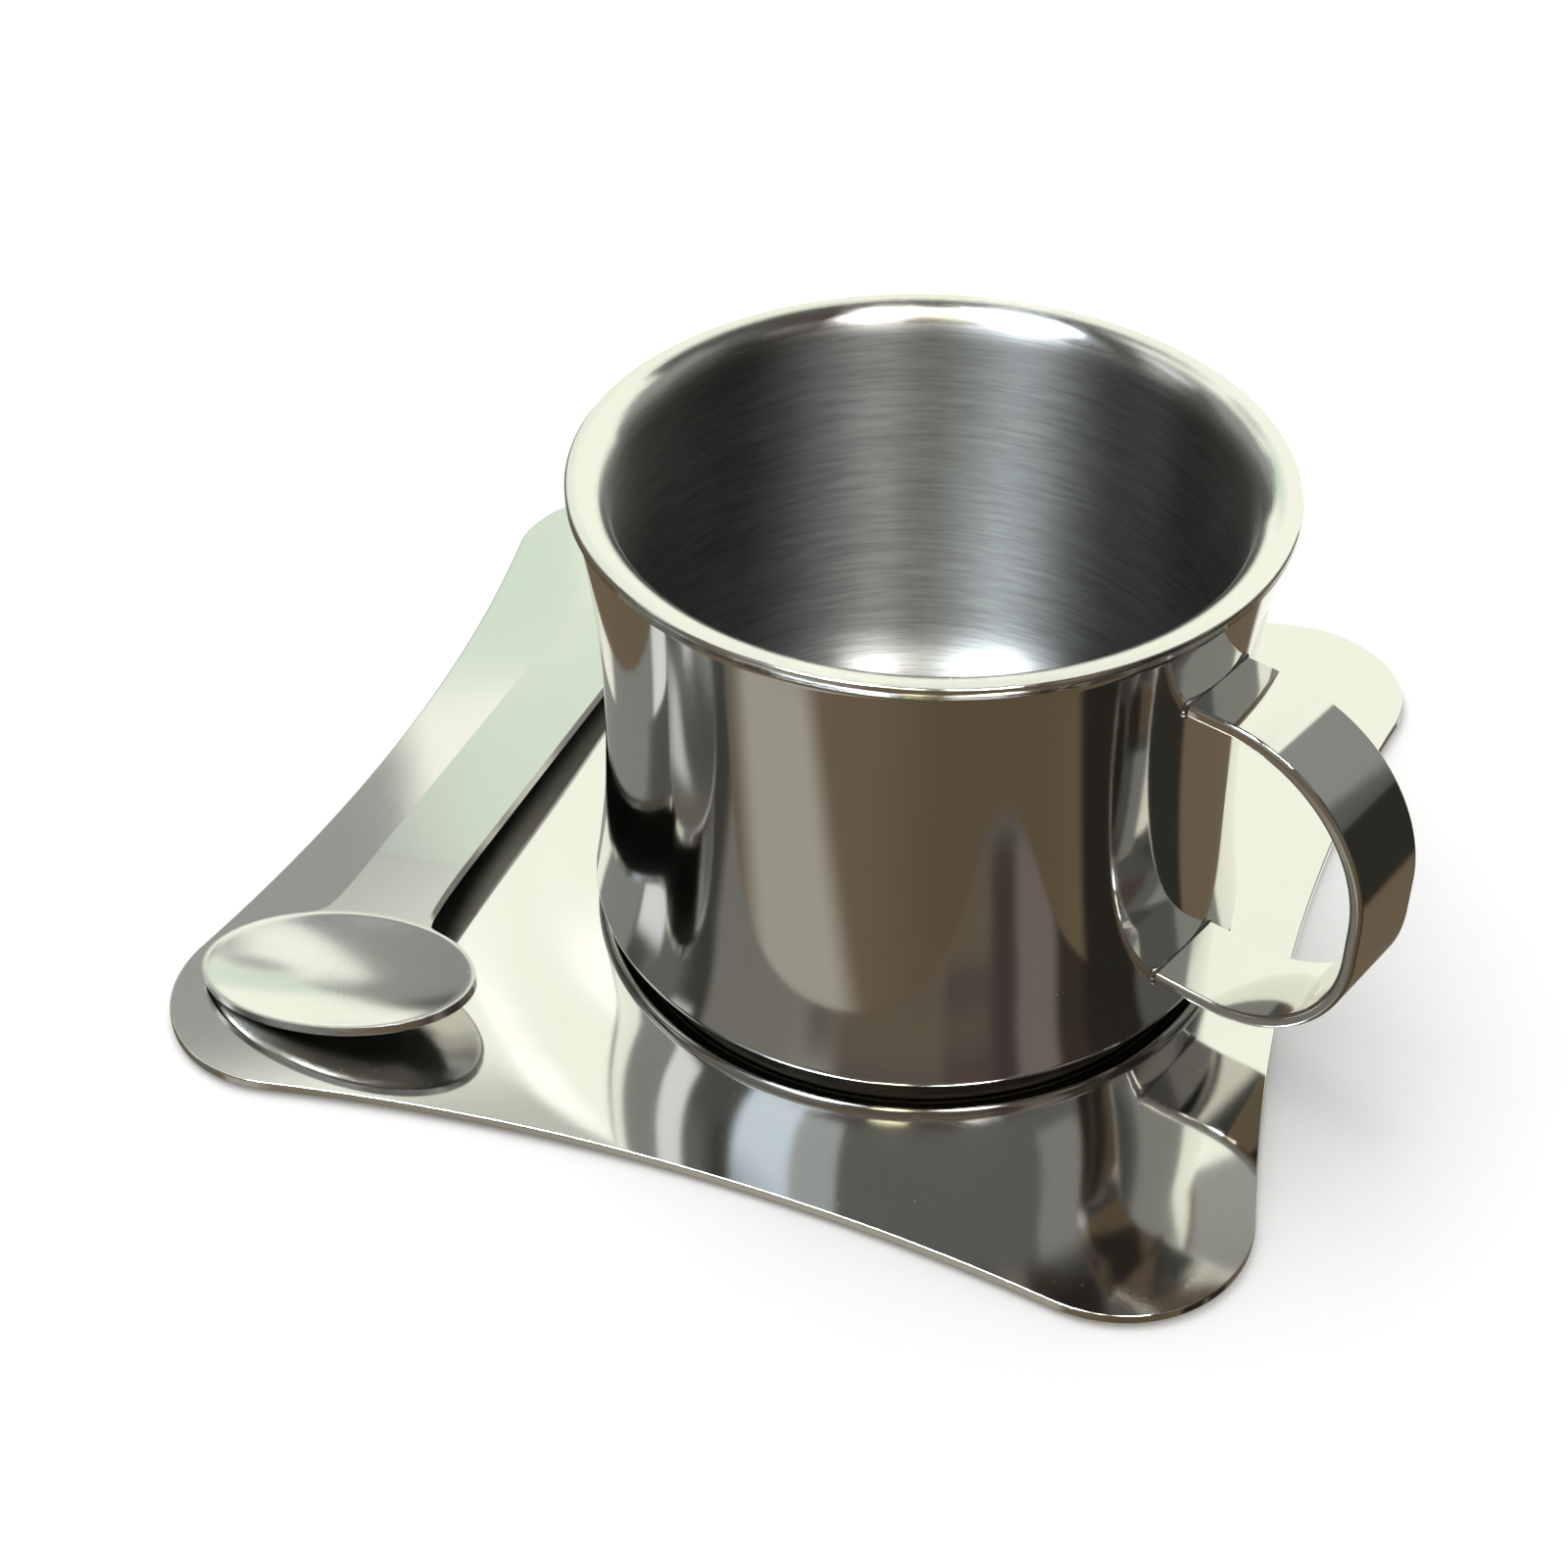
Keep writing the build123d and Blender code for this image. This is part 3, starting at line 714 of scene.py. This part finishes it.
def outline_reach(sizes, heading):
    """Distance from the well's axis to the saucer's outline, along a heading."""
    ray = Vector((math.cos(heading), math.sin(heading)))
    start = MUG_AXIS.xy
    half = SAUCER_SPAN / 2
    corner = half - sizes.corner_radius
    reach = sizes.side_radius + sizes.corner_radius
    side_centre = corner + math.sqrt(reach ** 2 - corner ** 2)
    share_of = sizes.corner_radius / reach
    along = corner * (1 - share_of)
    low, high = 0.0, 2.0 * SAUCER_SPAN
    halvings = 48
    for _ in range(halvings):
        middle = (low + high) / 2
        spot = start + ray * middle
        across, up = abs(spot.x), abs(spot.y)
        big, small = max(across, up), min(across, up)
        if small < along:
            inside = big < side_centre - math.sqrt(sizes.side_radius ** 2 - small ** 2)
        else:
            inside = Vector((big - corner, small - corner)).length < sizes.corner_radius
        low, high = (middle, high) if inside else (low, middle)
    return low


class MUGSET_OT_saucer(Operator):
    """Pressed saucer: shallow round well, level land and a four-cornered outline"""

    bl_idname = "mugset.saucer"
    bl_label = "Saucer"

    def execute(self, context):
        sizes = context.scene.saucer_sizes
        finish = context.scene.steel_finish
        land_start = sizes.floor_radius + sizes.step_run
        floor_steps, rise_steps, outer_steps = 8, 16, 8
        stations = [sizes.floor_radius * step / floor_steps for step in range(floor_steps)]
        stations += [sizes.floor_radius + sizes.step_run * step / rise_steps for step in range(rise_steps + 1)]
        # The land's rings are turned a metre apart, and then shared out up to the outline.
        stations += [land_start + step for step in range(1, outer_steps + 1)]
        bm = start_mesh([(MUG_AXIS.x + radius, MUG_AXIS.y, 0.0) for radius in stations])
        bmesh.ops.spin(bm, geom=bm.verts[:] + bm.edges[:], cent=MUG_AXIS, axis=(0, 0, 1), angle=2 * math.pi,
                       steps=sizes.spin_steps, use_merge=True)
        bmesh.ops.remove_doubles(bm, verts=bm.verts, dist=1e-7)
        reaches = {}
        for vert in bm.verts:
            arm = vert.co.xy - MUG_AXIS.xy
            radius = arm.length
            if radius > sizes.floor_radius + 1e-6:
                heading = round(math.atan2(arm.y, arm.x), 6)
                if heading not in reaches:
                    reaches[heading] = outline_reach(sizes, heading)
                rise_end = min(land_start, reaches[heading] - sizes.edge_strip)
                if radius > land_start + 1e-6:
                    part = round(radius - land_start) / outer_steps
                    radius = rise_end + (reaches[heading] - rise_end) * part
                else:
                    part = (radius - sizes.floor_radius) / sizes.step_run
                    radius = sizes.floor_radius + (rise_end - sizes.floor_radius) * part
                vert.co.xy = MUG_AXIS.xy + arm.normalized() * radius
            vert.co.z = saucer_height(sizes, radius)
        bmesh.ops.recalc_face_normals(bm, faces=bm.faces)
        material = polished_steel("polished_saucer_steel", finish.polished, finish.polished_roughness,
                                  PRESSED_WAVE)
        piece = finish_mesh(bm, "saucer_pressed_sheet", material, "saucer", "saucer_plate")
        thicken_down(piece, sizes.sheet)
        soften_edges(piece, sizes.edge_round, 3)
        return {"FINISHED"}


# ---------------------------------------------------------------- spoon
class MUGSET_OT_spoon(Operator):
    """Spoon pressed from one sheet: wide shallow bowl, neck and flat arm"""

    bl_idname = "mugset.spoon"
    bl_label = "Spoon"

    def execute(self, context):
        sizes = context.scene.spoon_sizes
        finish = context.scene.steel_finish
        bm = bmesh.new()
        bmesh.ops.create_circle(bm, segments=32, radius=1.0)
        self.hollow_bowl(bm, sizes)
        self.draw_arm(bm, sizes)
        bm.transform(Matrix.Rotation(sizes.turn, 4, "Z") @ Matrix.Rotation(sizes.roll, 4, "Y"))
        high = max(vert.co.z for vert in bm.verts)
        neck = Vector((SAUCER_LOW.x + sizes.side_inset, SAUCER_LOW.y + sizes.neck_inset, SPOON_HIGH.z - high))
        bm.transform(Matrix.Translation(neck))
        material = polished_steel("polished_spoon_steel", finish.polished, finish.spoon_roughness,
                                  PRESSED_WAVE)
        piece = finish_mesh(bm, "spoon_pressed_sheet", material, "spoon", "spoon")
        smooth = piece.modifiers.new("smooth", "SUBSURF")
        smooth.levels = smooth.render_levels = 3
        thicken_down(piece, sizes.sheet)
        soften_edges(piece, sizes.edge_round, 3)
        return {"FINISHED"}

    def hollow_bowl(self, bm, sizes):
        """Rings from the circle inwards, sunk into the hollow and stretched to the bowl's plan."""
        lip = 0.96
        hollow_rings = (0.90, 0.76, 0.56, 0.36, 0.16)
        ring = bm.edges[:]
        before = 1.0
        for part in (lip, *hollow_rings):
            grown = bmesh.ops.extrude_edge_only(bm, edges=ring)["geom"]
            ring = [item for item in grown if isinstance(item, bmesh.types.BMEdge)]
            verts = [item for item in grown if isinstance(item, bmesh.types.BMVert)]
            bmesh.ops.scale(bm, verts=verts, vec=(part / before, part / before, 1.0))
            bmesh.ops.translate(bm, verts=verts, vec=(0.0, 0.0, -sizes.bowl_depth * (1.0 - (part / lip) ** 2)
                                                      - verts[0].co.z))
            before = part
        bmesh.ops.contextual_create(bm, geom=ring)
        bmesh.ops.translate(bm, verts=bm.verts, vec=(0.0, -1.0, 0.0))
        bmesh.ops.scale(bm, verts=bm.verts, vec=(sizes.bowl_width / 2, sizes.bowl_length / 2, 1.0))

    def draw_arm(self, bm, sizes):
        """Draws the bowl's four rearmost edges out into the arm."""
        arm_length = sizes.arm_length
        half_neck, half_end, corner = sizes.neck_width / 2, sizes.end_width / 2, sizes.end_round
        flare_end, flare, neck_end, bend_half = 0.0030, 0.0002, 0.0065, 0.0012
        bend = sizes.bend_place
        rows = [(flare_end, half_neck + flare), (neck_end, half_neck), (bend - bend_half, half_neck),
                (bend, half_neck), (bend + bend_half, half_neck)]
        arm_steps = 6
        for step in range(1, arm_steps):
            part = step / arm_steps
            rows.append((bend + (arm_length - corner - bend) * part,
                         half_neck + (half_end - half_neck) * part))
        rows += [(arm_length - corner, half_end), (arm_length - corner * 0.25, half_end - corner * 0.25),
                 (arm_length, half_end - corner)]
        rear = [edge for edge in bm.edges if edge.is_boundary
                and all(vert.co.y > -0.5 * sizes.bowl_length and abs(vert.co.x) < 0.6 * sizes.neck_width
                        for vert in edge.verts)]
        for place, half_width in rows:
            grown = bmesh.ops.extrude_edge_only(bm, edges=rear)["geom"]
            rear = [item for item in grown if isinstance(item, bmesh.types.BMEdge)]
            verts = sorted((item for item in grown if isinstance(item, bmesh.types.BMVert)),
                           key=lambda vert: vert.co.x)
            fall = max(place - bend, 0.0) / (arm_length - bend)
            for index, vert in enumerate(verts):
                vert.co = ((2 * index / (len(verts) - 1) - 1.0) * half_width, place, -sizes.drop * fall)


# ---------------------------------------------------------------- stage
class MUGSET_OT_studio(Operator):
    """Pale floor, soft light, surround and camera"""

    bl_idname = "mugset.studio"
    bl_label = "Studio"

    def execute(self, context):
        settings = context.scene.studio_settings
        self.floor(settings)
        self.surround(context, settings)
        self.lamp(settings)
        self.camera(context, settings)
        context.scene.view_settings.view_transform = "Standard"
        return {"FINISHED"}

    def floor(self, settings):
        bm = bmesh.new()
        bmesh.ops.create_grid(bm, x_segments=1, y_segments=1, size=settings.floor_half)
        mesh = bpy.data.meshes.new("studio_floor")
        bm.to_mesh(mesh)
        bm.free()
        material = bpy.data.materials.new("pale_floor")
        material.use_nodes = True
        shader = material.node_tree.nodes["Principled BSDF"]
        shader.inputs["Base Color"].default_value = (*settings.floor_colour, 1.0)
        shader.inputs["Roughness"].default_value = 0.9
        mesh.materials.append(material)
        ground = bpy.data.objects.new("studio_floor", mesh)
        bpy.context.scene.collection.objects.link(ground)
        ground.visible_glossy = False

    def surround(self, context, settings):
        """Plain white room for the floor, and soft cards for what the steel mirrors."""
        world = bpy.data.worlds.new("studio_surround")
        context.scene.world = world
        world.use_nodes = True
        world.cycles.sampling_method = "NONE"
        tree = world.node_tree
        plain = tree.nodes["Background"]
        plain.inputs["Color"].default_value = (1.0, 1.0, 1.0, 1.0)
        plain.inputs["Strength"].default_value = settings.surround
        mirrored = add_node(tree, "ShaderNodeBackground", Color=self.card_light(tree), Strength=settings.cards)
        ray = add_node(tree, "ShaderNodeLightPath")
        choose = add_node(tree, "ShaderNodeMixShader", Fac=Wire(tree, ray.outputs["Is Glossy Ray"]))
        tree.links.new(plain.outputs[0], choose.inputs[1])
        tree.links.new(mirrored.outputs[0], choose.inputs[2])
        tree.links.new(choose.outputs[0], tree.nodes["World Output"].inputs["Surface"])

    def card_light(self, tree):
        """Light of the cards in each direction, laid over a dim room in the order of the list."""
        towards = Wire(tree, add_node(tree, "ShaderNodeTexCoord").outputs["Generated"])
        parts = add_node(tree, "ShaderNodeSeparateXYZ", Vector=towards)
        x, y, z = (Wire(tree, parts.outputs[key]) for key in "XYZ")
        azimuth = y.maths("ARCTAN2", x).maths("DEGREES")
        elevation = z.maths("ARCSINE").maths("DEGREES")
        light = DIM_ROOM
        for name, left, right, low, high, soft, lean, tone in SOFT_CARDS:
            rise = elevation - (low + high) / 2
            aside = (azimuth - rise * lean - (left + right) / 2).maths("WRAP", 180.0, -180.0)
            cover = faded(aside, (right - left) / 2, soft) * faded(rise, (high - low) / 2, soft)
            light = mixed(tree, light, (*tone, 1.0), cover, name)
        return light

    def lamp(self, settings):
        data = bpy.data.lights.new("soft_lamp", "AREA")
        data.energy = settings.lamp_power
        data.size = settings.lamp_size
        lamp = bpy.data.objects.new("soft_lamp", data)
        bpy.context.scene.collection.objects.link(lamp)
        lamp.location = settings.lamp_place
        lamp.rotation_euler = (-lamp.location).to_track_quat("-Z", "Y").to_euler()
        lamp.visible_glossy = False

    def camera(self, context, settings):
        data = bpy.data.cameras.new("studio_camera")
        data.sensor_width = 36.0
        data.lens = settings.camera_lens
        data.clip_start = 0.01
        camera = bpy.data.objects.new("studio_camera", data)
        bpy.context.scene.collection.objects.link(camera)
        camera.location = settings.camera_place
        camera.rotation_euler = (math.pi / 2 - settings.camera_dip, 0.0, settings.camera_turn)
        context.scene.camera = camera


# ---------------------------------------------------------------- panel and registration
STEPS = (
    MUGSET_OT_studio, MUGSET_OT_outer_wall, MUGSET_OT_liner, MUGSET_OT_base_pan, MUGSET_OT_handle,
    MUGSET_OT_saucer, MUGSET_OT_spoon,
)
GROUPS = {
    "mug_sizes": MugSizes,
    "handle_sizes": HandleSizes,
    "saucer_sizes": SaucerSizes,
    "spoon_sizes": SpoonSizes,
    "steel_finish": SteelFinish,
    "studio_settings": StudioSettings,
}


class MUGSET_PT_panel(Panel):
    """Sizes and steps of the mug set"""

    bl_idname = "MUGSET_PT_panel"
    bl_label = "Mug Set"
    bl_space_type = "VIEW_3D"
    bl_region_type = "UI"
    bl_category = "Mug Set"

    def draw(self, context):
        for step in STEPS:
            self.layout.operator(step.bl_idname)
        for key in GROUPS:
            group = getattr(context.scene, key)
            box = self.layout.box()
            box.label(text=key.replace("_", " ").capitalize())
            for name in group.__annotations__:
                box.prop(group, name)


def register():
    for group in GROUPS.values():
        bpy.utils.register_class(group)
    for step in STEPS:
        bpy.utils.register_class(step)
    bpy.utils.register_class(MUGSET_PT_panel)
    for key, group in GROUPS.items():
        setattr(bpy.types.Scene, key, PointerProperty(type=group))


def unregister():
    for key in GROUPS:
        delattr(bpy.types.Scene, key)
    bpy.utils.unregister_class(MUGSET_PT_panel)
    for step in reversed(STEPS):
        bpy.utils.unregister_class(step)
    for group in reversed(list(GROUPS.values())):
        bpy.utils.unregister_class(group)


def main():
    register()
    for step in STEPS:
        group, action = step.bl_idname.split(".")
        getattr(getattr(bpy.ops, group), action)()


if __name__ == "__main__":
    main()
